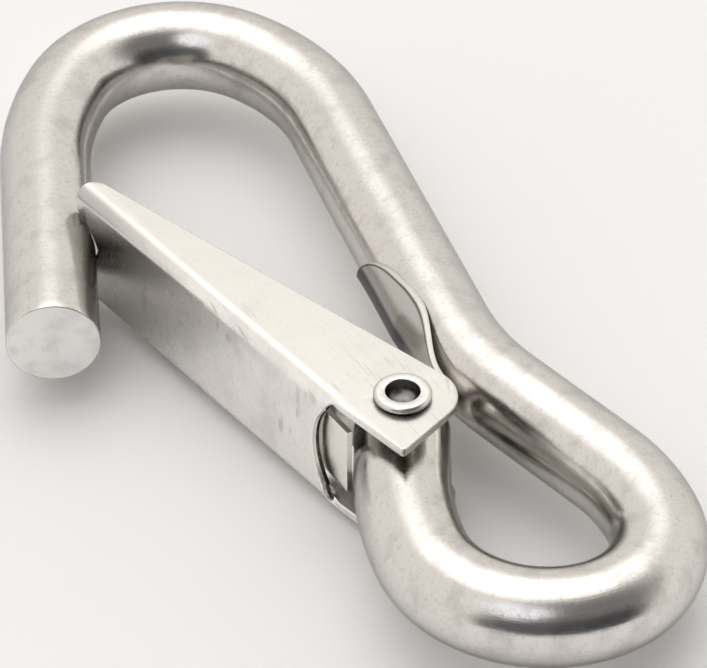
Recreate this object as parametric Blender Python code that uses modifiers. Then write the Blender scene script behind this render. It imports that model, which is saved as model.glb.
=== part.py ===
"""Bent-rod spring snap hook with a pressed channel gate.

Metres.  The hook lies flat in a plane parallel to XY, the line from the eye to
the top of the bowl runs along +Y, and the rivet axis is parallel to Z.
"""
import bpy
import bmesh
from math import cos, sin, tan, radians, degrees, hypot, atan2, ceil
from mathutils import Matrix, Vector

MM = 0.001

# Rod: one bent round bar, from the sawn nose end round to the pivot end.
ROD_D = 8.0 * MM
ROD_SIDES = 28
BEND_STEP = 6.5
NOSE_START = (-17.915 * MM, 8.41 * MM)
NOSE_HEADING = 65.2
NOSE_STRAIGHT = 23.9 * MM
BOWL_LEAD = (27.4 * MM, -23.4)
BOWL_BEND = (10.7 * MM, -104.3)
BOWL_TAIL = (19.5 * MM, -38.0)
SHANK_STRAIGHT = 30.2 * MM
SHANK_KINK = (24.8 * MM, 22.4)
SHANK_LOWER = 11.9 * MM
EYE_LEAD = (17.3 * MM, -25.7)
EYE_TIGHT = (8.6 * MM, -84.8)
EYE_BEND = (10.3 * MM, -91.8)
EYE_TAIL = (27.8 * MM, -18.9)
PIVOT_STRAIGHT = 7.2 * MM
PIVOT_FROM_END = 3.5 * MM
END_BREAK = 0.12 * MM
PIVOT_END_ROUND = 1.2 * MM

# Gate: pressed sheet channel that opens towards the shank.
SHEET = 0.8 * MM
GATE_HALF_H = 5.8 * MM
WEB_OUTER = 5.0 * MM
FOLD_R = 1.3 * MM
GATE_TURN = 37.8
TIP_U = 38.8 * MM
TIP_INNER_V = 3.0 * MM
HEEL_U = -2.95 * MM
HEEL_V = -5.1 * MM
SPUR_U = -5.2 * MM
SPUR_V = 4.0 * MM
HEEL_R = 3.6 * MM
ARCH_EDGE_U = 3.3 * MM
ARCH_MID_U = 5.6 * MM
WEB_END_U = 42.2 * MM
NOSE_GAP = 0.2 * MM

# Rivet: low round head below, clinched ring round a shallow bowl on the upper ear.
RIVET_R = 1.80 * MM
RIVET_HOLE_GAP = 0.06 * MM
RING_R = 2.40 * MM
RING_H = 0.75 * MM
RING_EDGE_R = 0.34 * MM
BORE_R = 1.30 * MM
BORE_MOUTH_R = 1.42 * MM
BORE_DEPTH = 0.70 * MM
FACE_GAP = 0.01 * MM
HEAD_R = 2.75 * MM
HEAD_H = 0.90 * MM

# Spring: one strip.  Its rounded end is cupped on the shank, then it flattens,
# turns over the pivot end of the rod and runs down inside the web.
STRIP = 0.50 * MM
STRIP_GAP = 0.22 * MM
STRIP_HALF_H = 3.2 * MM
FINGER = [(88.5, 0.5), (88.7, 1.05), (89.05, 1.6), (89.6, 2.15), (90.3, 2.6), (91.2, 2.95),
          (92.4, 3.25), (94.0, 3.5), (95.8, 3.72), (97.4, 3.8)]
FINGER_FREE = 93.0
FINGER_LIFT = 0.12 * MM
END_LOOP_X = 3.95 * MM
END_LOOP_Y = 4.25 * MM
LEAF_TURN_U = 8.6 * MM
LEAF_TURN_V = 3.5 * MM
LEAF_END_U = 1.6 * MM
LEAF_END_V = 4.18 * MM

PLANE_Z = GATE_HALF_H + HEAD_H + FACE_GAP


for ob in list(bpy.data.objects):
    bpy.data.objects.remove(ob, do_unlink=True)

part = bpy.data.collections.new("snap_hook")
cutters = bpy.data.collections.new("cutters")
bpy.context.scene.collection.children.link(part)
bpy.context.scene.collection.children.link(cutters)
cutters.hide_render = True


def material(name, colour, rough, metal=1.0):
    mat = bpy.data.materials.new(name)
    mat.use_nodes = True
    bsdf = mat.node_tree.nodes["Principled BSDF"]
    bsdf.inputs["Base Color"].default_value = (*colour, 1.0)
    bsdf.inputs["Roughness"].default_value = rough
    bsdf.inputs["Metallic"].default_value = metal
    return mat


def keep(ob, mat):
    part.objects.link(ob)
    ob.data.materials.clear()
    ob.data.materials.append(mat)
    return ob


def cutter(ob):
    cutters.objects.link(ob)
    ob.hide_render = True
    ob.display_type = "WIRE"
    return ob


def boolean(ob, other, kind):
    mod = ob.modifiers.new(kind.lower(), "BOOLEAN")
    mod.operation = kind
    mod.solver = "EXACT"
    mod.object = other
    return mod


def place(ob, where, turn_deg):
    ob.location = where
    ob.rotation_euler = (0.0, 0.0, radians(turn_deg))
    return ob


def trace(start, heading, legs, step=BEND_STEP):
    """Points (x, y, heading, distance) along straights and bends in the plane."""
    x, y = start
    a = radians(heading)
    run = 0.0
    pts = [(x, y, a, 0.0)]
    for leg in legs:
        if isinstance(leg, tuple):
            r, turn = leg
            n = max(1, ceil(abs(turn) / step))
            side = 1.0 if turn > 0 else -1.0
            cx, cy = x - side * r * sin(a), y + side * r * cos(a)
            for i in range(1, n + 1):
                b = a + radians(turn) * i / n
                pts.append((cx + side * r * sin(b), cy - side * r * cos(b), b,
                            run + r * abs(radians(turn)) * i / n))
        else:
            pts.append((x + leg * cos(a), y + leg * sin(a), a, run + leg))
        x, y, a, run = pts[-1]
    return pts


def along(pts, s):
    """Point and heading at distance s on a traced line."""
    for p, q in zip(pts, pts[1:]):
        if q[3] >= s:
            f = (s - p[3]) / (q[3] - p[3])
            return tuple(p[i] + f * (q[i] - p[i]) for i in range(3))
    return pts[-1][:3]


def curve(name, pts, closed=False):
    """Poly curve through 2D or 3D points."""
    cu = bpy.data.curves.new(name, "CURVE")
    cu.dimensions = "3D"
    sp = cu.splines.new("POLY")
    sp.points.add(len(pts) - 1)
    for p, co in zip(sp.points, pts):
        p.co = (co[0], co[1], co[2] if len(co) > 2 else 0.0, 1.0)
    sp.use_cyclic_u = closed
    cu.resolution_u = 1
    return bpy.data.objects.new(name, cu)


def slab(name, outline, half):
    """Flat outline filled and extruded half each way along Z."""
    ob = curve(name, outline, closed=True)
    ob.data.dimensions = "2D"
    ob.data.fill_mode = "BOTH"
    ob.data.extrude = half
    return as_mesh(ob)


def as_mesh(ob):
    """Evaluated mesh of a curve object, welded shut, under the same name."""
    scene_link = bpy.context.scene.collection.objects
    scene_link.link(ob)
    dg = bpy.context.evaluated_depsgraph_get()
    me = bpy.data.meshes.new_from_object(ob.evaluated_get(dg))
    scene_link.unlink(ob)
    name = ob.name
    bpy.data.objects.remove(ob, do_unlink=True)
    bm = bmesh.new()
    bm.from_mesh(me)
    bmesh.ops.remove_doubles(bm, verts=bm.verts, dist=1e-6)
    bmesh.ops.recalc_face_normals(bm, faces=bm.faces)
    bm.to_mesh(me)
    bm.free()
    out = bpy.data.objects.new(name, me)
    return out


def cylinder(name, r, z0, z1, sides=32):
    bm = bmesh.new()
    bmesh.ops.create_cone(bm, cap_ends=True, segments=sides, radius1=r, radius2=r,
                          depth=z1 - z0)
    bmesh.ops.translate(bm, verts=bm.verts, vec=(0, 0, (z0 + z1) / 2))
    me = bpy.data.meshes.new(name)
    bm.to_mesh(me)
    bm.free()
    return bpy.data.objects.new(name, me)


def rounded(corners, step=9.0):
    """Open or closed corner list [(x, y, radius)] as points with filleted corners."""
    out = []
    n = len(corners)
    for i, (x, y, r) in enumerate(corners):
        if r <= 0.0:
            out.append((x, y))
            continue
        px, py, _ = corners[i - 1]
        qx, qy, _ = corners[(i + 1) % n]
        ax, ay = px - x, py - y
        bx, by = qx - x, qy - y
        la, lb = hypot(ax, ay), hypot(bx, by)
        ax, ay, bx, by = ax / la, ay / la, bx / lb, by / lb
        ang = atan2(ax * by - ay * bx, ax * bx + ay * by)
        t = r / tan(abs(ang) / 2.0)
        hx, hy = ax + bx, ay + by
        lh = hypot(hx, hy)
        d = r / sin(abs(ang) / 2.0)
        cx, cy = x + hx / lh * d, y + hy / lh * d
        s0 = atan2(y + ay * t - cy, x + ax * t - cx)
        s1 = atan2(y + by * t - cy, x + bx * t - cx)
        sweep = (s1 - s0 + radians(180.0)) % radians(360.0) - radians(180.0)
        k = max(2, ceil(abs(degrees(sweep)) / step))
        for j in range(k + 1):
            out.append((cx + r * cos(s0 + sweep * j / k), cy + r * sin(s0 + sweep * j / k)))
    return out


rod_steel = material("rod_polished_steel", (0.80, 0.78, 0.75), 0.12)
gate_steel = material("gate_pressed_steel", (0.82, 0.80, 0.77), 0.28)
rivet_steel = material("rivet_steel", (0.80, 0.79, 0.77), 0.18)
spring_steel = material("spring_strip_steel", (0.84, 0.82, 0.79), 0.15)

# ---- rod ----------------------------------------------------------------
legs = [NOSE_STRAIGHT, BOWL_LEAD, BOWL_BEND, BOWL_TAIL, SHANK_STRAIGHT, SHANK_KINK,
        SHANK_LOWER, EYE_LEAD, EYE_TIGHT, EYE_BEND, EYE_TAIL, PIVOT_STRAIGHT]
centre = trace(NOSE_START, NOSE_HEADING, legs)
end_x, end_y, end_a, _ = centre[-1]
tail_deg = degrees(end_a)
pivot = (end_x - PIVOT_FROM_END * cos(end_a), end_y - PIVOT_FROM_END * sin(end_a), PLANE_Z)

rod = curve("hook_body", [(x, y, PLANE_Z) for x, y, a, s in centre])
rod.data.bevel_depth = ROD_D / 2
rod.data.bevel_resolution = (ROD_SIDES - 4) // 2
rod.data.use_fill_caps = True
rod.data.twist_mode = "Z_UP"
rod = keep(as_mesh(rod), rod_steel)
bm = bmesh.new()
bm.from_mesh(rod.data)
for spot, width in ((centre[0], END_BREAK), (centre[-1], PIVOT_END_ROUND)):
    rim = [e for e in bm.edges
           if all(abs((v.co.x - spot[0]) * cos(spot[2]) + (v.co.y - spot[1]) * sin(spot[2])) < 1e-5
                  and hypot(v.co.x - spot[0], v.co.y - spot[1]) < ROD_D for v in e.verts)]
    bmesh.ops.bevel(bm, geom=rim, offset=width, segments=1 if width == END_BREAK else 3,
                    profile=0.5, affect="EDGES", clamp_overlap=True)
# The sawn nose end is one flat face.
nose_x, nose_y, nose_a, _ = centre[0]
sawn = [f for f in bm.faces
        if all(abs((v.co.x - nose_x) * cos(nose_a) + (v.co.y - nose_y) * sin(nose_a)) < 1e-6
               and hypot(v.co.x - nose_x, v.co.y - nose_y) < ROD_D for v in f.verts)]
bmesh.ops.dissolve_faces(bm, faces=sawn)
bm.to_mesh(rod.data)
bm.free()
hole = cutter(cylinder("rivet_hole", RIVET_R + RIVET_HOLE_GAP, -ROD_D, ROD_D, 40))
place(hole, pivot, 0.0)
boolean(rod, hole, "DIFFERENCE")

# ---- gate: local +X from the pivot to the tip, +Y outwards, origin on the rivet ----
gate_deg = tail_deg + GATE_TURN
lean = (TIP_INNER_V - HEEL_V) / (TIP_U - HEEL_U)


def ear_outline(fold_v, tip_r):
    return rounded([
        (SPUR_U, SPUR_V, 0.0),
        (HEEL_U, HEEL_V, HEEL_R),
        (TIP_U, TIP_INNER_V, tip_r),
        (TIP_U, fold_v, tip_r * 0.55),
        (ARCH_EDGE_U, fold_v, 0.0),
    ])


# Channel: U profile along +X, trimmed to the ear shape.
inner_r = FOLD_R - SHEET
u_profile = rounded([
    (-9.0 * MM, -GATE_HALF_H, 0.0), (WEB_OUTER, -GATE_HALF_H, FOLD_R),
    (WEB_OUTER, GATE_HALF_H, FOLD_R), (-9.0 * MM, GATE_HALF_H, 0.0),
    (-9.0 * MM, GATE_HALF_H - SHEET, 0.0),
    (WEB_OUTER - SHEET, GATE_HALF_H - SHEET, inner_r),
    (WEB_OUTER - SHEET, -GATE_HALF_H + SHEET, inner_r),
    (-9.0 * MM, -GATE_HALF_H + SHEET, 0.0),
], step=15.0)
span = WEB_END_U - ARCH_EDGE_U
gate = slab("gate", u_profile, span / 2)
gate.data.transform(Matrix.Translation((ARCH_EDGE_U + span / 2, 0.0, 0.0))
                    @ Matrix(((0, 0, 1, 0), (1, 0, 0, 0), (0, 1, 0, 0), (0, 0, 0, 1))))
keep(gate, gate_steel)
place(gate, pivot, gate_deg)

trim = cutter(slab("gate_trim", ear_outline(WEB_OUTER + 3.0 * MM, 1.6 * MM), 9.0 * MM))
place(trim, pivot, gate_deg)
boolean(gate, trim, "INTERSECT")

for side in (1, -1):
    plate_v = WEB_OUTER - FOLD_R
    plate = slab("ear_%s" % ("top" if side > 0 else "bottom"), rounded([
        (SPUR_U, SPUR_V, 0.5 * MM),
        (HEEL_U, HEEL_V, HEEL_R),
        (HEEL_U + 9.0 * MM, HEEL_V + 9.0 * MM * lean, 0.0),
        (ARCH_EDGE_U + 1.5 * MM, plate_v - 2.0 * MM, 0.0),
        (ARCH_EDGE_U + 0.4 * MM, WEB_OUTER - 0.22 * MM, 0.0),
    ]), SHEET / 2)
    plate.data.transform(Matrix.Translation((0, 0, side * (GATE_HALF_H - SHEET / 2))))
    cutter(plate)
    place(plate, pivot, gate_deg)
    boolean(gate, plate, "UNION")

# Concave end of the web beside the pivot.
rise = ARCH_MID_U - ARCH_EDGE_U
half = GATE_HALF_H - SHEET - 0.05 * MM
arc_r = (half * half + rise * rise) / (2 * rise)
sweep = degrees(atan2(half, arc_r - rise))
arch = [(ARCH_MID_U - arc_r + arc_r * cos(radians(t)), arc_r * sin(radians(t)))
        for t in [sweep * (1 - i / 7.0) for i in range(15)]]
arch_cut = slab("arch_cut", [(-12.0 * MM, half)] + arch + [(-12.0 * MM, -half)], 3.0 * MM)
arch_cut.data.transform(Matrix.Translation((0.0, WEB_OUTER - 0.3 * MM, 0.0))
                        @ Matrix.Rotation(radians(90.0), 4, "X"))
cutter(arch_cut)
place(arch_cut, pivot, gate_deg)
boolean(gate, arch_cut, "DIFFERENCE")

# Clearance round the nose, along the nose's own axis.
nose = cutter(cylinder("nose_clearance", ROD_D / 2 + NOSE_GAP, -5.0 * MM, NOSE_STRAIGHT + 9.0 * MM, 40))
nose.rotation_euler = (0.0, radians(90.0), radians(NOSE_HEADING))
nose.location = (NOSE_START[0], NOSE_START[1], PLANE_Z)
boolean(gate, nose, "DIFFERENCE")

ear_hole = cutter(cylinder("ear_hole", RIVET_R + 0.02 * MM, -12.0 * MM, 12.0 * MM, 40))
place(ear_hole, pivot, 0.0)
boolean(gate, ear_hole, "DIFFERENCE")

# ---- rivet ----------------------------------------------------------------
top, bottom = GATE_HALF_H + FACE_GAP, -GATE_HALF_H - FACE_GAP
profile = [(0.0, bottom - HEAD_H), (HEAD_R * 0.45, bottom - HEAD_H * 0.97),
           (HEAD_R * 0.75, bottom - HEAD_H * 0.78), (HEAD_R * 0.94, bottom - HEAD_H * 0.42),
           (HEAD_R, bottom - HEAD_H * 0.12), (HEAD_R * 0.98, bottom), (RIVET_R, bottom),
           (RIVET_R, top)]
profile += [(RING_R - RING_EDGE_R * (1.0 - cos(radians(t))),
             top + RING_H - RING_EDGE_R * (1.0 - sin(radians(t)))) for t in range(-60, 91, 25)]
profile += [(BORE_MOUTH_R, top + RING_H)]
profile += [(BORE_R * cos(radians(t)), top - BORE_DEPTH * sin(radians(t))) for t in range(0, 90, 15)]
profile += [(0.0, top - BORE_DEPTH)]
me = bpy.data.meshes.new("rivet")
me.from_pydata([(r, 0.0, z) for r, z in profile], [(i, i + 1) for i in range(len(profile) - 1)], [])
rivet = keep(bpy.data.objects.new("rivet", me), rivet_steel)
place(rivet, pivot, 0.0)
screw = rivet.modifiers.new("lathe", "SCREW")
screw.axis = "Z"
screw.angle = radians(360.0)
screw.steps = 36
screw.render_steps = 36
screw.use_merge_vertices = True
screw.merge_threshold = 1e-6
screw.use_normal_calculate = True

# ---- leaf spring: local +Y along the pivot end of the rod, origin on the rivet ----
spring_deg = tail_deg - 90.0
to_local = Matrix.Rotation(radians(-spring_deg), 4, "Z") @ Matrix.Translation(-Vector(pivot))
seat = ROD_D / 2 + STRIP_GAP + STRIP / 2


def beside_shank(s, off):
    x, y, a = along(centre, s)
    v = to_local @ Vector((x + off * sin(a), y - off * cos(a), PLANE_Z))
    return v.x, v.y


gu = radians(90.0 + GATE_TURN)


def gate_point(u, v):
    return u * cos(gu) - v * sin(gu), u * sin(gu) + v * cos(gu)


# Middle line of the strip with its half-height and the depth of its cup.
line = []
for s_mm, half_h in FINGER:
    free = max(0.0, (FINGER_FREE - s_mm) / (FINGER_FREE - FINGER[0][0]))
    h = half_h * MM
    line.append((*beside_shank(s_mm * MM, seat + FINGER_LIFT * free * free),
                 h, seat - (seat * seat - h * h) ** 0.5))
x0, y0, h0, cup0 = line[-1]
bends = rounded([(x0, y0, 0.0), (END_LOOP_X, END_LOOP_Y, 0.8 * MM),
                 (*gate_point(LEAF_TURN_U, LEAF_TURN_V), 1.6 * MM),
                 (*gate_point(LEAF_END_U, LEAF_END_V), 0.0)], step=13.0)
x1, y1 = bends[1]
for i in range(1, 9):
    f = i / 9.0
    g = max(0.0, 1.0 - f / 0.92)
    ease = g * g * (3.0 - 2.0 * g)
    line.append((x0 + f * (x1 - x0), y0 + f * (y1 - y0),
                 STRIP_HALF_H + (h0 - STRIP_HALF_H) * ease, cup0 * ease))
line += [(x, y, STRIP_HALF_H, 0.0) for x, y in bends[1:]]

bm = bmesh.new()
rows = []
for i, (x, y, h, cup) in enumerate(line):
    ax, ay = line[max(i - 1, 0)][:2]
    bx, by = line[min(i + 1, len(line) - 1)][:2]
    a0 = atan2(y - ay, x - ax) if i else atan2(by - y, bx - x)
    a1 = atan2(by - y, bx - x) if i < len(line) - 1 else a0
    turn = (a1 - a0 + radians(180.0)) % radians(360.0) - radians(180.0)
    nx, ny = -sin(a0 + turn / 2.0), cos(a0 + turn / 2.0)
    across = STRIP / 2 / cos(turn / 2.0)
    outer, inner = [], []
    r = (h * h + cup * cup) / (2.0 * cup) if cup > 0.0 else None
    for j in range(11):
        z = h * (j / 5.0 - 1.0)
        deep = r - max(0.0, r * r - z * z) ** 0.5 if r else 0.0
        for side, row in ((-1.0, outer), (1.0, inner)):
            off = deep + side * across
            row.append(bm.verts.new((x + off * nx, y + off * ny, z)))
    rows.append(outer + inner[::-1])
for r0, r1 in zip(rows, rows[1:]):
    for j in range(len(r0)):
        k = (j + 1) % len(r0)
        bm.faces.new((r0[j], r0[k], r1[k], r1[j]))
for row in (rows[0], rows[-1]):
    n = len(row)
    for j in range(n // 2 - 1):
        bm.faces.new((row[j], row[j + 1], row[n - 2 - j], row[n - 1 - j]))
bmesh.ops.recalc_face_normals(bm, faces=bm.faces)
me = bpy.data.meshes.new("leaf_spring")
bm.to_mesh(me)
bm.free()
leaf = keep(bpy.data.objects.new("leaf_spring", me), spring_steel)
place(leaf, pivot, spring_deg)
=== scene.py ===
"""Looks of the bent-rod snap hook: fine surfaces, polished and pressed steel, plain studio."""
import bpy
import bmesh
from math import cos, sin, tan, radians, degrees, hypot, atan2, ceil, pi, sqrt
from mathutils import Matrix, Vector


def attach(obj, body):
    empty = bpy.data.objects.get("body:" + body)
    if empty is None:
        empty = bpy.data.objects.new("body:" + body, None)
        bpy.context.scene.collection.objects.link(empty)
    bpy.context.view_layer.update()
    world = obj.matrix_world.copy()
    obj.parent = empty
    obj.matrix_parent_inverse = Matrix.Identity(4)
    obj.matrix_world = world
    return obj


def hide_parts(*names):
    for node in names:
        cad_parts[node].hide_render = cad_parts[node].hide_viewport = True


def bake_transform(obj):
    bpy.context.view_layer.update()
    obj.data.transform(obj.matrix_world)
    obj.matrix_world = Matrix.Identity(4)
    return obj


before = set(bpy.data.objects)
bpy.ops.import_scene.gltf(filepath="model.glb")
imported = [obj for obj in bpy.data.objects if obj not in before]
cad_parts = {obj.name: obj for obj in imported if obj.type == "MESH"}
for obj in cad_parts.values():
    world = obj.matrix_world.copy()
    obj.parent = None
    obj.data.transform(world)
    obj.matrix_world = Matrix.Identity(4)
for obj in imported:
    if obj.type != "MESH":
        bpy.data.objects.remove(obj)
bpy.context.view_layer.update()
scene = bpy.context.scene
MM = 0.001

# ---- sizes in mm, as in the CAD source -------------------------------------
ROD_R, PLANE_Z = 4.0, 6.71
NOSE_START, NOSE_HEADING = (-17.915, 8.41), 65.2
LEGS = [23.9, (27.4, -23.4), (10.7, -104.3), (19.5, -38.0), 30.2, (24.8, 22.4), 11.9,
        (17.3, -25.7), (8.6, -84.8), (10.3, -91.8), (27.8, -18.9), 7.2]
ROD_END_ROUND, PIVOT_FROM_END = 1.2, 3.5
SHEET, HALF_H, WEB_OUTER, FOLD_R, GATE_TURN = 0.8, 5.8, 5.0, 1.3, 37.8
TIP_U, TIP_INNER_V = 38.8, 3.0
HEEL_U, HEEL_V, HEEL_R = -2.95, -5.1, 3.6
SPUR_U, SPUR_V = -5.2, 4.0
ARCH_EDGE_U, ARCH_MID_U = 3.3, 5.6
RIVET_R, RING_R, RING_H, RING_EDGE_R = 1.8, 2.4, 0.75, 0.34
BORE_R, BORE_MOUTH_R, BORE_DEPTH, NOSE_BREAK = 1.3, 1.42, 0.7, 0.12
HEAD_R, HEAD_H = 2.75, 0.9
STRIP, STRIP_GAP, STRIP_HALF_H = 0.5, 0.22, 3.2
FINGER = [(88.5, 0.5), (88.7, 1.05), (89.05, 1.6), (89.6, 2.15), (90.3, 2.6), (91.2, 2.95),
          (92.4, 3.25), (94.0, 3.5), (95.8, 3.72), (97.4, 3.8)]
FINGER_FREE, FINGER_LIFT = 93.0, 0.12
END_LOOP = (3.95, 4.25)
LEAF_TURN, LEAF_END = (8.6, 3.5), (1.6, 4.18)

# ---- sizes in mm that only the looks need ------------------------------------
ROD_HOLE_GAP, EAR_HOLE_GAP, NOSE_GAP, FACE_GAP = 0.06, 0.02, 0.2, 0.01
BLANK_BREAK, MOUTH_BREAK, ARCH_NEAR = 0.13, 0.1, 0.2
UV_PER_MM = 0.01
ROUND_SIDES = 96
KEY_STEPS, JOIN_STEPS, FACE_STEPS = 4, 24, 24


def trace(step, run_step):
    """The rod's centre line from the nose, as (x, y, heading, length so far)."""
    x, y = NOSE_START
    a, run = radians(NOSE_HEADING), 0.0
    pts = [(x, y, a, 0.0)]
    for leg in LEGS:
        if isinstance(leg, tuple):
            r, turn = leg
            n = max(1, ceil(abs(turn) / step))
            side = 1.0 if turn > 0 else -1.0
            cx, cy = x - side * r * sin(a), y + side * r * cos(a)
            for i in range(1, n + 1):
                b = a + radians(turn) * i / n
                pts.append((cx + side * r * sin(b), cy - side * r * cos(b), b,
                            run + r * abs(radians(turn)) * i / n))
        else:
            n = max(1, ceil(leg / run_step))
            for i in range(1, n + 1):
                d = leg * i / n
                pts.append((x + d * cos(a), y + d * sin(a), a, run + d))
        x, y, a, run = pts[-1]
    return pts


CENTRE = trace(1.5, 1.0)
END_X, END_Y, END_A, _ = CENTRE[-1]
PIVOT = (END_X - PIVOT_FROM_END * cos(END_A), END_Y - PIVOT_FROM_END * sin(END_A))
GATE_A = END_A + radians(GATE_TURN)


def along(s):
    """Place and heading on the centre line at length s from the nose."""
    for p, q in zip(CENTRE, CENTRE[1:]):
        if q[3] >= s:
            f = (s - p[3]) / (q[3] - p[3])
            return tuple(p[i] + f * (q[i] - p[i]) for i in range(3))
    return CENTRE[-1][:3]


def rounded(corners, step):
    """Corner list [(x, y, radius)] as points with filleted corners."""
    out, n = [], len(corners)
    for i, (x, y, r) in enumerate(corners):
        if r <= 0.0:
            out.append((x, y))
            continue
        px, py, _ = corners[i - 1]
        qx, qy, _ = corners[(i + 1) % n]
        ax, ay, bx, by = px - x, py - y, qx - x, qy - y
        la, lb = hypot(ax, ay), hypot(bx, by)
        ax, ay, bx, by = ax / la, ay / la, bx / lb, by / lb
        ang = atan2(ax * by - ay * bx, ax * bx + ay * by)
        t = r / tan(abs(ang) / 2)
        hx, hy = ax + bx, ay + by
        d = r / sin(abs(ang) / 2) / hypot(hx, hy)
        cx, cy = x + hx * d, y + hy * d
        s0 = atan2(y + ay * t - cy, x + ax * t - cx)
        s1 = atan2(y + by * t - cy, x + bx * t - cx)
        sweep = (s1 - s0 + pi) % (2 * pi) - pi
        k = max(2, ceil(abs(degrees(sweep)) / step))
        out += [(cx + r * cos(s0 + sweep * j / k), cy + r * sin(s0 + sweep * j / k))
                for j in range(k + 1)]
    return out


def piece(name, bm, sharp=30.0):
    """Object from a bmesh in mm, smooth shaded with sharp edges over an angle."""
    bmesh.ops.recalc_face_normals(bm, faces=bm.faces)
    bmesh.ops.scale(bm, verts=bm.verts, vec=(MM, MM, MM))
    for f in bm.faces:
        f.smooth = True
    for e in bm.edges:
        e.smooth = len(e.link_faces) == 2 and e.calc_face_angle(0.0) < radians(sharp)
    me = bpy.data.meshes.new(name)
    bm.to_mesh(me)
    bm.free()
    ob = bpy.data.objects.new(name, me)
    scene.collection.objects.link(ob)
    return ob


def cut(ob, r, centre, heading=None, length=60.0):
    """Takes a cylinder (mm) out of ob: upright, or lying along a heading."""
    bm = bmesh.new()
    bmesh.ops.create_cone(bm, cap_ends=True, segments=ROUND_SIDES, radius1=r * MM,
                          radius2=r * MM, depth=length * MM)
    me = bpy.data.meshes.new("tool")
    bm.to_mesh(me)
    bm.free()
    me.polygons.foreach_set("use_smooth", [True] * len(me.polygons))
    tool = bpy.data.objects.new("tool", me)
    scene.collection.objects.link(tool)
    tool.location = Vector(centre) * MM
    if heading is not None:
        tool.rotation_euler = (0.0, radians(90.0), heading)
    first = ob.modifiers.new("cut", "BOOLEAN")
    first.operation, first.solver, first.object = "DIFFERENCE", "EXACT", tool
    bpy.context.view_layer.update()
    dg = bpy.context.evaluated_depsgraph_get()
    new = bpy.data.meshes.new_from_object(ob.evaluated_get(dg))
    ob.modifiers.clear()
    ob.data = new
    bpy.data.objects.remove(tool)


# ---- rod ---------------------------------------------------------------------
def make_rod():
    sides, bm = ROUND_SIDES, bmesh.new()
    uv = bm.loops.layers.uv.new("run")
    first, last = CENTRE[0], CENTRE[-1]
    stations = [(first, NOSE_BREAK * (1 - cos(radians(t))),
                 ROD_R - NOSE_BREAK * (1 - sin(radians(t)))) for t in (0, 22.5, 45, 67.5, 90)]
    stations += [(p, 0.0, ROD_R) for p in CENTRE[1:-1] if 0.4 < p[3] < last[3] - 1.3]
    stations += [(last, -ROD_END_ROUND * (1 - sin(radians(t))),
                  ROD_R - ROD_END_ROUND * (1 - cos(radians(t)))) for t in range(0, 91, 15)]
    rings = []
    for (x, y, a, s), off, r in stations:
        x, y = x + off * cos(a), y + off * sin(a)
        rings.append([bm.verts.new((x + r * cos(t) * sin(a), y - r * cos(t) * cos(a),
                                    PLANE_Z + r * sin(t)))
                      for t in (2 * pi * j / sides for j in range(sides))])
    for i, (r0, r1) in enumerate(zip(rings, rings[1:])):
        for j in range(sides):
            f = bm.faces.new((r0[j], r0[(j + 1) % sides], r1[(j + 1) % sides], r1[j]))
            for loop, (di, dj) in zip(f.loops, ((0, 0), (0, 1), (1, 1), (1, 0))):
                st = stations[i + di]
                loop[uv].uv = ((st[0][3] + st[1]) * UV_PER_MM,
                               (j + dj) / sides * 2 * pi * ROD_R * UV_PER_MM)
    ends = [bm.faces.new(rings[0]), bm.faces.new(rings[-1][::-1])]
    for f in ends:
        f.material_index = 1
    ob = piece("rod", bm)
    ob.data.materials.append(None)
    ob.data.materials.append(None)
    cut(ob, RIVET_R + ROD_HOLE_GAP, (*PIVOT, PLANE_Z))
    return ob


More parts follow.
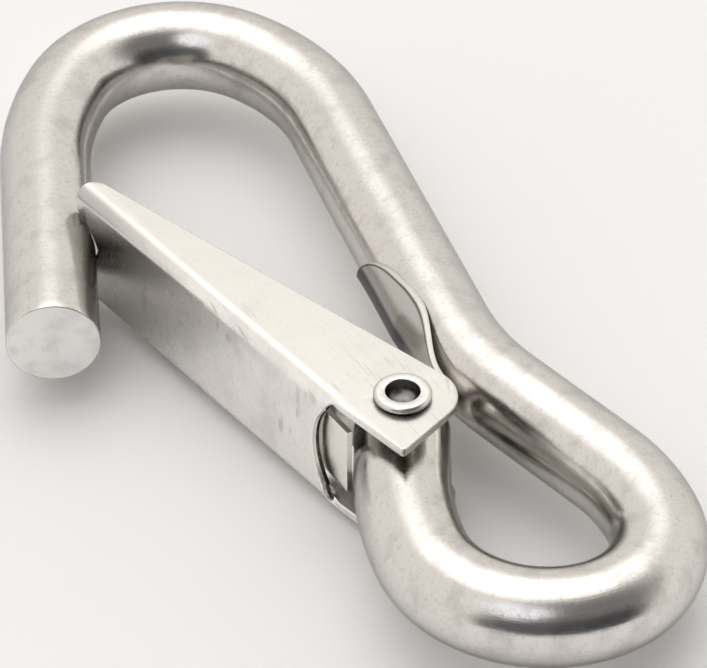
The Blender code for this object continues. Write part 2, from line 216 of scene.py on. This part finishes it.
# ---- gate: blank cut flat with broken edges, then folded ----------------------
def make_gate():
    mid_r = FOLD_R - SHEET / 2
    fold_z, fold_v = HALF_H - FOLD_R, WEB_OUTER - FOLD_R
    arc = mid_r * pi / 2
    w_of = fold_z + arc + fold_v                    # w = w_of - v on an ear
    half = HALF_H - SHEET - 0.05
    rise = ARCH_MID_U - ARCH_EDGE_U
    arch_r = (half * half + rise * rise) / (2 * rise)
    arch = [(ARCH_MID_U - arch_r + sqrt(arch_r ** 2 - w * w), w)
            for w in (half * i / 16.0 for i in range(1, 17))]
    side = arch + rounded([(*arch[-1], 0.0), (SPUR_U, w_of - SPUR_V, 0.35),
                           (HEEL_U, w_of - HEEL_V, HEEL_R),
                           (TIP_U, w_of - TIP_INNER_V, 1.6), (TIP_U, 0.0, 0.0)], 5.0)[1:-1]
    outline = [(ARCH_MID_U, 0.0)] + side + [(u, -w) for u, w in side[::-1]]
    bm = bmesh.new()
    face = bm.faces.new([bm.verts.new((u, w, -SHEET / 2)) for u, w in outline])
    out = bmesh.ops.extrude_face_region(bm, geom=[face])
    bmesh.ops.translate(bm, vec=(0, 0, SHEET),
                        verts=[v for v in out["geom"] if isinstance(v, bmesh.types.BMVert)])
    rim = [e for e in bm.edges if abs(e.verts[0].co.z - e.verts[1].co.z) < 1e-6]
    bmesh.ops.bevel(bm, geom=rim, offset=BLANK_BREAK, segments=3, profile=0.5, affect="EDGES",
                    clamp_overlap=True)
    bmesh.ops.bisect_plane(bm, geom=bm.verts[:] + bm.edges[:] + bm.faces[:],
                           plane_co=(0, 0, 0), plane_no=(0, 0, 1))
    bm.normal_update()
    # The arch's edge, on the inner half of the sheet, gets a near-black material: painted shade
    # inside the channel.
    for f in bm.faces:                              # the arch's edge, inner half of the sheet
        at = f.calc_center_median()
        from_arch = abs(hypot(at.x - ARCH_MID_U + arch_r, at.y) - arch_r)
        on_arch = from_arch < ARCH_NEAR and abs(at.y) < half
        if on_arch and abs(f.normal.z) < 0.9 and at.z < 0.0:
            f.material_index = 1
    bmesh.ops.triangulate(bm, faces=bm.faces, quad_method="BEAUTY", ngon_method="BEAUTY")
    cuts = [sgn * (fold_z + arc * k / 9.0) for k in range(10) for sgn in (1, -1)]
    lines = [((0, w, 0), (0, 1, 0)) for w in cuts]
    lines += [((u, 0, 0), (1, 0, 0)) for u in [2.0 + 0.35 * k for k in range(9)]]
    for co, no in lines:
        bmesh.ops.bisect_plane(bm, geom=bm.verts[:] + bm.edges[:] + bm.faces[:],
                               plane_co=co, plane_no=no)
    ca, sa = cos(GATE_A), sin(GATE_A)
    for vert in bm.verts:
        u, w, t = vert.co
        sgn, w = (1.0 if w >= 0 else -1.0), abs(w)
        flat = (w_of - w, HALF_H - SHEET / 2 + t)
        if w <= fold_z:
            bent = (WEB_OUTER - SHEET / 2 + t, w)
        elif w < fold_z + arc:
            q = (w - fold_z) / mid_r
            bent = (fold_v + (mid_r + t) * cos(q), fold_z + (mid_r + t) * sin(q))
        else:
            bent = flat
        k = min(1.0, max(0.0, (u - 2.3) / 2.3)) if w > fold_z - 0.4 else 1.0
        k = k * k * (3 - 2 * k)
        v, z = (bent[i] * k + flat[i] * (1 - k) for i in range(2))
        vert.co = (PIVOT[0] + u * ca - v * sa, PIVOT[1] + u * sa + v * ca, PLANE_Z + sgn * z)
    ob = piece("gate_channel", bm, 40.0)
    ob.data.materials.append(None)
    ob.data.materials.append(None)
    cut(ob, ROD_R + NOSE_GAP, (*NOSE_START, PLANE_Z), radians(NOSE_HEADING), 66.0)
    cut(ob, RIVET_R + EAR_HOLE_GAP, (*PIVOT, PLANE_Z))
    mod = ob.modifiers.new("weighted", "WEIGHTED_NORMAL")
    mod.keep_sharp = True
    return ob


# ---- rivet ----------------------------------------------------------------------
def make_rivet():
    top, low = HALF_H + FACE_GAP, -HALF_H - FACE_GAP
    prof = [(HEAD_R * sin(radians(t)), low - 0.15 - (HEAD_H - 0.15) * cos(radians(t)) ** 0.8)
            for t in range(0, 90, 6)] + [(HEAD_R, low - 0.12), (HEAD_R * 0.98, low)]
    prof += [(RIVET_R, low), (RIVET_R, top)]
    prof += [(RING_R - RING_EDGE_R * (1 - cos(radians(t))),
              top + RING_H - RING_EDGE_R * (1 - sin(radians(t))))
             for t in range(-60, 91, 10)]
    prof += [(BORE_MOUTH_R + MOUTH_BREAK * (1 - sin(radians(t))),
              top + RING_H - MOUTH_BREAK * (1 - cos(radians(t)))) for t in range(0, 91, 18)]
    bowl = len(prof) - 2
    prof += [(BORE_R * cos(radians(t)), top - BORE_DEPTH * sin(radians(t)))
             for t in range(0, 91, 6)]
    prof[-1] = (0.0, top - BORE_DEPTH)
    bm, n, rings = bmesh.new(), ROUND_SIDES, []
    for r, z in prof:
        if r < 1e-6:
            rings.append([bm.verts.new((PIVOT[0], PIVOT[1], PLANE_Z + z))] * n)
        else:
            rings.append([bm.verts.new((PIVOT[0] + r * cos(2 * pi * j / n),
                                        PIVOT[1] + r * sin(2 * pi * j / n), PLANE_Z + z))
                          for j in range(n)])
    for i, (r0, r1) in enumerate(zip(rings, rings[1:])):
        for j in range(n):
            k = (j + 1) % n
            loop = [r0[j], r0[k], r1[k], r1[j]]
            f = bm.faces.new(list(dict.fromkeys(loop)))
            f.material_index = 1 if i >= bowl else 0
    return piece("rivet_turned", bm, 50.0)


# ---- spring -----------------------------------------------------------------------
def make_spring():
    seat = ROD_R + STRIP_GAP + STRIP / 2
    turn = -(END_A - radians(90.0))

    def local(x, y):
        dx, dy = x - PIVOT[0], y - PIVOT[1]
        return dx * cos(turn) - dy * sin(turn), dx * sin(turn) + dy * cos(turn)

    def gate_point(u, v):
        g = radians(90.0 + GATE_TURN)
        return u * cos(g) - v * sin(g), u * sin(g) + v * cos(g)

    keys = []
    for s, h in FINGER:
        free = max(0.0, (FINGER_FREE - s) / (FINGER_FREE - FINGER[0][0]))
        off = seat + FINGER_LIFT * free * free
        x, y, a = along(s)
        keys.append((*local(x + off * sin(a), y - off * cos(a)), h,
                     seat - sqrt(seat ** 2 - h * h)))
    line = []
    for i in range(len(keys) - 1):                  # Catmull-Rom between the keys
        p0, p1 = keys[max(i - 1, 0)], keys[i]
        p2, p3 = keys[i + 1], keys[min(i + 2, len(keys) - 1)]
        for t in (k / KEY_STEPS for k in range(KEY_STEPS)):
            line.append(tuple(0.5 * (2 * b + (c - a) * t + (2 * a - 5 * b + 4 * c - d) * t * t
                                     + (3 * b - a - 3 * c + d) * t ** 3)
                              for a, b, c, d in zip(p0, p1, p2, p3)))
    line.append(keys[-1])
    x0, y0, h0, cup0 = line[-1]
    bends = rounded([(x0, y0, 0.0), (*END_LOOP, 0.8), (*gate_point(*LEAF_TURN), 1.6),
                     (*gate_point(*LEAF_END), 0.0)], 6.0)
    x1, y1 = bends[1]
    for i in range(1, JOIN_STEPS):
        f = i / JOIN_STEPS
        g = max(0.0, 1.0 - f / 0.92)
        g = g * g * (3 - 2 * g)
        line.append((x0 + f * (x1 - x0), y0 + f * (y1 - y0),
                     STRIP_HALF_H + (h0 - STRIP_HALF_H) * g, cup0 * g))
    line += [(x, y, STRIP_HALF_H, 0.0) for x, y in bends[1:]]
    bm, rows, heights, half = bmesh.new(), [], [], STRIP / 2
    back = -turn
    for i, (x, y, h, cup) in enumerate(line):
        ax, ay = line[max(i - 1, 0)][:2]
        bx, by = line[min(i + 1, len(line) - 1)][:2]
        a0 = atan2(y - ay, x - ax) if i else atan2(by - y, bx - x)
        a1 = atan2(by - y, bx - x) if i < len(line) - 1 else a0
        bend = (a1 - a0 + pi) % (2 * pi) - pi
        nx, ny = -sin(a0 + bend / 2), cos(a0 + bend / 2)
        r = (h * h + cup * cup) / (2 * cup) if cup > 0.004 else None
        c = min(0.08, h * 0.3)
        k = c / half
        flat = h - c
        rim = [(sgn * (1 - k) + k * cos(radians(t)), flat + c * sin(radians(t)))
               for sgn, t in ((-1, 150), (-1, 120), (-1, 90), (1, 90), (1, 60), (1, 30), (1, 0))]
        section = [(-1.0, flat * (j / 12.0 - 1.0)) for j in range(FACE_STEPS + 1)] + rim
        section += [(1.0, flat * (1.0 - j / 12.0)) for j in range(1, FACE_STEPS)]
        section += [(side, -z) for side, z in rim[::-1]]
        heights.append([z for side, z in section])
        row = []
        for side, z in section:
            deep = r - sqrt(max(0.0, r * r - z * z)) if r else 0.0
            off = deep + side * half / cos(bend / 2)
            lx, ly, lz = x + off * nx, y + off * ny, z
            row.append(bm.verts.new((PIVOT[0] + lx * cos(back) - ly * sin(back),
                                     PIVOT[1] + lx * sin(back) + ly * cos(back), PLANE_Z + lz)))
        rows.append(row)
    runs = [0.0]
    for p, q in zip(line, line[1:]):
        runs.append(runs[-1] + hypot(q[0] - p[0], q[1] - p[1]))
    loop_run = runs[KEY_STEPS * (len(FINGER) - 1) + JOIN_STEPS - 1]
    border = [(0.0, 0.0)] + [(run, st[2]) for run, st in zip(runs, line)]

    def from_edge(run, z):
        best = 9.0
        for (ax, ay), (bx, by) in zip(border, border[1:]):
            dx, dy = bx - ax, by - ay
            t = ((run - ax) * dx + (z - ay) * dy) / max(1e-9, dx ** 2 + dy ** 2)
            t = min(1.0, max(0.0, t))
            best = min(best, hypot(run - ax - t * dx, z - ay - t * dy))
        return best

    n = len(rows[0])
    rim_end, far_rim = FACE_STEPS + len(rim) - 1, 2 * FACE_STEPS + len(rim)
    gap = [[from_edge(run, abs(z)) for z in zs] for run, zs in zip(runs, heights)]
    along_uv, rim_uv = bm.loops.layers.uv.new("strip"), bm.loops.layers.uv.new("rim")
    for i, (r0, r1) in enumerate(zip(rows, rows[1:])):
        for j in range(n):
            f = bm.faces.new((r0[j], r0[(j + 1) % n], r1[(j + 1) % n], r1[j]))
            f.material_index = 1 if FACE_STEPS <= j <= rim_end or j >= far_rim else 0
            for loop, (di, dj) in zip(f.loops, ((0, 0), (0, 1), (1, 1), (1, 0))):
                r, q = i + di, (j + dj) % n
                loop[along_uv].uv = (runs[r] / loop_run, heights[r][q] / 10.0 + 0.5)
                loop[rim_uv].uv = (gap[r][q] / 5.0, heights[r][q] / line[r][2] * 0.5 + 0.5)
    bm.faces.new(rows[0]).material_index = 1
    bm.faces.new(rows[-1][::-1])
    return piece("spring_strip", bm, 28.0)


rod, gate, rivet, spring = make_rod(), make_gate(), make_rivet(), make_spring()
for ob, body, node in ((rod, "hook", "hook_body"), (gate, "gate", "gate"),
                       (rivet, "gate", "rivet")):
    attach(ob, body)
    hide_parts(node)
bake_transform(spring)
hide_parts("leaf_spring")


# ---- materials -----------------------------------------------------------
class Steel:
    """A metal made of layers of noise over one Principled BSDF."""

    def __init__(self, name, colour, edge=(0.6, 0.6, 0.61)):
        self.mat = bpy.data.materials.new(name)
        self.mat.use_nodes = True
        self.nt = self.mat.node_tree
        self.bsdf = self.nt.nodes["Principled BSDF"]
        self.bsdf.inputs["Metallic"].default_value = 1.0
        self.bsdf.inputs["Specular Tint"].default_value = (*edge, 1)
        self.tint = colour
        self.bump = None
        self.place = self.node("ShaderNodeTexCoord").outputs["Object"]

    def node(self, kind, **values):
        n = self.nt.nodes.new(kind)
        for k, v in values.items():
            setattr(n, k, v)
        return n

    def feed(self, value, socket):
        if isinstance(value, bpy.types.NodeSocket):
            self.nt.links.new(value, socket)
        else:
            socket.default_value = value

    def maths(self, kind, a, b=0.0, clamp=False):
        n = self.node("ShaderNodeMath", operation=kind, use_clamp=clamp)
        self.feed(a, n.inputs[0])
        self.feed(b, n.inputs[1])
        return n.outputs[0]

    def fit(self, value, lo, hi, to_lo=0.0, to_hi=1.0):
        n = self.node("ShaderNodeMapRange", interpolation_type="SMOOTHSTEP")
        self.feed(value, n.inputs["Value"])
        for k, v in (("From Min", lo), ("From Max", hi), ("To Min", to_lo), ("To Max", to_hi)):
            n.inputs[k].default_value = v
        return n.outputs["Result"]

    def mapped(self, scale=(1, 1, 1), turn=0.0, source=None):
        n = self.node("ShaderNodeMapping")
        self.nt.links.new(source or self.place, n.inputs["Vector"])
        n.inputs["Rotation"].default_value = (0, 0, turn)
        n.inputs["Scale"].default_value = scale
        return n.outputs["Vector"]

    def noise(self, scale, detail=3.0, where=None, rough=0.55):
        n = self.node("ShaderNodeTexNoise")
        self.nt.links.new(where or self.place, n.inputs["Vector"])
        n.inputs["Scale"].default_value = scale
        n.inputs["Detail"].default_value = detail
        n.inputs["Roughness"].default_value = rough
        return n.outputs["Fac"]

    def shade(self, mask, colour, amount=1.0):
        """Mixes colour over what there is so far where mask is high."""
        mix = self.node("ShaderNodeMix", data_type="RGBA")
        self.feed(self.maths("MULTIPLY", mask, amount), mix.inputs["Factor"])
        if isinstance(self.tint, tuple):
            mix.inputs["A"].default_value = (*self.tint, 1)
        else:
            self.nt.links.new(self.tint, mix.inputs["A"])
        mix.inputs["B"].default_value = (*colour, 1)
        self.tint = mix.outputs["Result"]

    def relief(self, height, distance, strength=1.0):
        n = self.node("ShaderNodeBump")
        n.inputs["Strength"].default_value = strength
        n.inputs["Distance"].default_value = distance
        self.feed(height, n.inputs["Height"])
        if self.bump is not None:
            self.nt.links.new(self.bump, n.inputs["Normal"])
        self.bump = n.outputs["Normal"]

    def done(self, rough):
        self.nt.links.new(self.tint, self.bsdf.inputs["Base Color"])
        self.feed(rough, self.bsdf.inputs["Roughness"])
        if self.bump is not None:
            self.nt.links.new(self.bump, self.bsdf.inputs["Normal"])
        return self.mat


def rod_steel():
    m = Steel("rod_polished_steel", (0.72, 0.695, 0.665))
    run = m.node("ShaderNodeUVMap", uv_map="run").outputs["UV"]
    streak = m.noise(1.0, 3.0, m.mapped((26, 520, 1), source=run), 0.65)
    speck = m.noise(2600.0, 3.0, rough=0.7)
    blotch = m.noise(420.0, 4.0)
    m.shade(m.fit(blotch, 0.46, 0.70), (0.54, 0.515, 0.50), 0.6)
    m.shade(m.fit(speck, 0.50, 0.78), (0.44, 0.42, 0.42), 0.55)
    m.shade(m.fit(streak, 0.55, 0.78), (0.50, 0.48, 0.47), 0.4)
    m.relief(m.noise(95.0, 2.0), 0.00025, 0.35)
    m.relief(streak, 0.000012, 0.5)
    m.relief(speck, 0.000012, 0.6)
    rough = m.maths("ADD", m.fit(blotch, 0.3, 0.7, 0.13, 0.21), m.fit(speck, 0.4, 0.8, 0.0, 0.09))
    return m.done(rough)


def sawn_steel():
    m = Steel("sawn_end_steel", (0.90, 0.89, 0.88), (0.9, 0.9, 0.9))
    saw = m.noise(1.0, 3.0, m.mapped((300, 300, 5200)), 0.6)
    blotch = m.noise(700.0, 4.0)
    m.shade(m.fit(blotch, 0.42, 0.7), (0.76, 0.75, 0.74), 0.5)
    m.relief(saw, 0.00003, 0.5)
    m.relief(m.noise(2400.0, 3.0), 0.00003, 0.6)
    return m.done(m.fit(blotch, 0.3, 0.7, 0.5, 0.62))


def gate_steel():
    m = Steel("gate_pressed_steel", (0.70, 0.68, 0.645), (0.8, 0.8, 0.8))
    frame_of_gate = m.mapped((1, 1, 1), -GATE_A)
    to_pivot = Vector((-PIVOT[0] * MM, -PIVOT[1] * MM, 0.0))
    frame_of_gate.node.inputs["Location"].default_value = (
        Matrix.Rotation(-GATE_A, 3, "Z") @ to_pivot)
    split = m.node("ShaderNodeSeparateXYZ")
    m.nt.links.new(frame_of_gate, split.inputs[0])
    web = m.fit(split.outputs["Y"], 0.0036, 0.0048)
    m.shade(web, (0.93, 0.905, 0.875))
    # Painted dark reflection: the web's outer face darkens towards the nose.
    nose_dark_reflection = m.fit(split.outputs["X"], 0.021, 0.036)
    m.shade(m.maths("MULTIPLY", web, nose_dark_reflection), (0.42, 0.41, 0.405), 0.75)
    grain = m.noise(1.0, 3.0, m.mapped((220, 3400, 1700), -GATE_A), 0.6)
    cross = m.noise(1.0, 2.0, m.mapped((4200, 260, 260), -GATE_A - radians(5)), 0.5)
    blotch = m.noise(230.0, 4.0)
    patch = m.noise(120.0, 2.0)
    speck = m.noise(2300.0, 3.0, rough=0.7)
    m.shade(m.fit(blotch, 0.47, 0.74), (0.60, 0.585, 0.56), 0.4)
    m.shade(m.fit(speck, 0.52, 0.8), (0.52, 0.505, 0.495), 0.35)
    scratch = m.maths("MULTIPLY", m.fit(cross, 0.57, 0.66), m.fit(patch, 0.50, 0.58))
    m.shade(scratch, (0.55, 0.525, 0.48), 0.6)
    m.relief(m.noise(130.0, 2.0), 0.0002, 0.25)
    m.relief(grain, 0.000004, 0.5)
    m.relief(scratch, 0.00001, -0.5)
    rough = m.maths("ADD", m.fit(grain, 0.3, 0.7, 0.24, 0.28), m.fit(blotch, 0.3, 0.7, 0.0, 0.06))
    return m.done(rough)


# Near black: painted shade on the arch's cut edge inside the gate's channel.
def arch_edge_shade_steel():
    m = Steel("arch_edge_painted_shade", (0.06, 0.058, 0.056), (0.3, 0.3, 0.3))
    m.shade(m.fit(m.noise(1500.0, 3.0), 0.5, 0.75), (0.3, 0.29, 0.28), 0.5)
    return m.done(0.45)


def rivet_steel():
    m = Steel("rivet_steel", (0.74, 0.72, 0.69))
    # Painted shade: the rivet is near black from just above the ear's top downwards, so the
    # ring's foot looks shaded.
    height = m.node("ShaderNodeSeparateXYZ")
    m.nt.links.new(m.place, height.inputs[0])
    seam = (PLANE_Z + HALF_H) * MM
    painted_shade_under_ring = m.fit(height.outputs["Z"], seam + 0.00012, seam + 0.00042, 1.0, 0.0)
    m.shade(painted_shade_under_ring, (0.10, 0.10, 0.105), 0.85)
    speck = m.noise(2600.0, 3.0, rough=0.7)
    m.shade(m.fit(speck, 0.52, 0.8), (0.52, 0.51, 0.5), 0.5)
    m.relief(m.noise(700.0, 2.0), 0.00006, 0.4)
    m.relief(speck, 0.00001, 0.5)
    return m.done(m.fit(speck, 0.3, 0.8, 0.14, 0.24))


# The bowl and its mouth are painted dark: painted shade in the recess.
def bowl_shade_steel():
    m = Steel("rivet_bowl_painted_shade", (0.26, 0.25, 0.245), (0.3, 0.3, 0.3))
    m.shade(m.fit(m.noise(2400.0, 3.0), 0.45, 0.7), (0.12, 0.115, 0.11), 0.7)
    m.relief(m.noise(1500.0, 2.0), 0.00006, 0.6)
    return m.done(0.32)


def strip_edge_steel():
    m = Steel("strip_edge_steel", (0.66, 0.64, 0.61), (0.7, 0.7, 0.7))
    m.shade(m.fit(m.noise(1800.0, 3.0), 0.5, 0.75), (0.50, 0.48, 0.465), 0.5)
    return m.done(0.45)


def spring_steel():
    m = Steel("spring_strip_steel", (0.97, 0.935, 0.885), (0.8, 0.8, 0.8))
    strip = m.node("ShaderNodeUVMap", uv_map="strip").outputs["UV"]
    rim = m.node("ShaderNodeUVMap", uv_map="rim").outputs["UV"]
    place, edge = m.node("ShaderNodeSeparateXYZ"), m.node("ShaderNodeSeparateXYZ")
    m.nt.links.new(strip, place.inputs[0])
    m.nt.links.new(rim, edge.inputs[0])
    gap, height = edge.outputs["X"], edge.outputs["Y"]
    finger = m.fit(place.outputs["X"], 0.86, 1.0, 1.0, 0.0)
    drawn = m.noise(1.0, 3.0, m.mapped((9, 300, 1), source=strip), 0.6)
    m.shade(m.fit(drawn, 0.52, 0.75), (0.70, 0.67, 0.64), 0.4)
    # Painted dark reflection: the finger's face is made grey.
    m.shade(finger, (0.47, 0.445, 0.435), 0.9)
    z = place.outputs["Y"]
    # Painted dark reflection: a near-black band along the finger, a little above its middle,
    # fading out towards the loop.
    dark_reflection_band = m.maths("MULTIPLY", m.fit(z, 0.495, 0.515), m.fit(z, 0.610, 0.665, 1.0, 0.0))
    fade = m.fit(place.outputs["X"], 0.55, 0.85, 1.0, 0.0)
    # Painted light reflection: below its middle the finger is light again.
    light_reflection_below = m.maths("MULTIPLY", finger, m.fit(z, 0.475, 0.500, 1.0, 0.0))
    m.shade(light_reflection_below, (0.90, 0.88, 0.85), 0.9)
    m.shade(m.maths("MULTIPLY", fade, dark_reflection_band), (0.05, 0.05, 0.055), 0.92)
    # Painted shade: a thin dark line just inside the finger's upper edge.
    line = m.maths("MULTIPLY", m.fit(gap, 0.030, 0.055, 1.0, 0.0), m.fit(height, 0.5, 0.7))
    m.shade(m.maths("MULTIPLY", finger, line), (0.10, 0.095, 0.095), 0.85)
    m.relief(drawn, 0.000008, 0.5)
    return m.done(m.fit(drawn, 0.3, 0.7, 0.16, 0.26))


rod.data.materials[0] = rod_steel()
rod.data.materials[1] = sawn_steel()
gate.data.materials[0] = gate_steel()
gate.data.materials[1] = arch_edge_shade_steel()
rivet.data.materials.append(rivet_steel())
rivet.data.materials.append(bowl_shade_steel())
spring.data.materials.append(spring_steel())
spring.data.materials.append(strip_edge_steel())

# ---- stage ---------------------------------------------------------------
AIM = Vector((4.668, -2.860, 6.71)) * MM
EYE = Vector((-140.8, -262.3, 256.1)) * MM
SENSOR, LENS = 36.0, 234.83
FLOOR_HALF = 3000.0

bm = bmesh.new()
bmesh.ops.create_grid(bm, x_segments=1, y_segments=1, size=FLOOR_HALF)
floor = piece("floor", bm)
white = bpy.data.materials.new("floor_white")
white.use_nodes = True
paint = white.node_tree.nodes["Principled BSDF"].inputs
paint["Base Color"].default_value = (0.95, 0.95, 0.95, 1)
paint["Roughness"].default_value = 0.9
paint["Specular IOR Level"].default_value = 0.1
floor.data.materials.append(white)

cam_data = bpy.data.cameras.new("camera")
cam_data.sensor_width, cam_data.lens = SENSOR, LENS
cam_data.clip_start, cam_data.clip_end = 0.01, 20.0
cam = bpy.data.objects.new("camera", cam_data)
scene.collection.objects.link(cam)
cam.location = EYE
cam.rotation_mode = "QUATERNION"
cam.rotation_quaternion = (AIM - EYE).to_track_quat("-Z", "Y")
scene.camera = cam


# Studio: cream walls, a soft panel overhead at the back, darkness round the front with a
# small lamp in it.
def direction(az, el):
    a, e = radians(az), radians(el)
    return (sin(a) * cos(e), cos(a) * cos(e), sin(e))


world = bpy.data.worlds.new("studio")
scene.world = world
world.use_nodes = True
nt = world.node_tree
background = nt.nodes["Background"]
where = nt.nodes.new("ShaderNodeTexCoord")


def lobe(az, el, inner, outer):
    dot = nt.nodes.new("ShaderNodeVectorMath")
    dot.operation = "DOT_PRODUCT"
    nt.links.new(where.outputs["Generated"], dot.inputs[0])
    dot.inputs[1].default_value = direction(az, el)
    ramp = nt.nodes.new("ShaderNodeMapRange")
    ramp.interpolation_type = "SMOOTHSTEP"
    ramp.inputs["From Min"].default_value = cos(radians(outer))
    ramp.inputs["From Max"].default_value = cos(radians(inner))
    nt.links.new(dot.outputs["Value"], ramp.inputs["Value"])
    return ramp.outputs["Result"]


colour = None
for mask, rgb in [(None, (0.95, 0.92, 0.88)),
                  (lobe(-165, 20, 20, 56), (0.19, 0.185, 0.185)),
                  (lobe(165, 45, 10, 50), (0.22, 0.21, 0.21)),
                  (lobe(-170, 12, 8, 30), (0.08, 0.08, 0.085)),
                  (lobe(165, 12, 8, 26), (0.07, 0.07, 0.075)),
                  (lobe(-130, 10, 8, 30), (0.12, 0.12, 0.125)),
                  (lobe(-130, 50, 7, 22), (1.25, 1.25, 1.32)),
                  (lobe(20, 70, 8, 38), (2.0, 1.96, 1.9))]:
    if mask is None:
        colour = nt.nodes.new("ShaderNodeRGB").outputs[0]
        colour.default_value = (*rgb, 1)
        continue
    mix = nt.nodes.new("ShaderNodeMix")
    mix.data_type = "RGBA"
    nt.links.new(mask, mix.inputs["Factor"])
    nt.links.new(colour, mix.inputs["A"])
    mix.inputs["B"].default_value = (*rgb, 1)
    colour = mix.outputs["Result"]
nt.links.new(colour, background.inputs["Color"])
scene.view_settings.view_transform = "Standard"
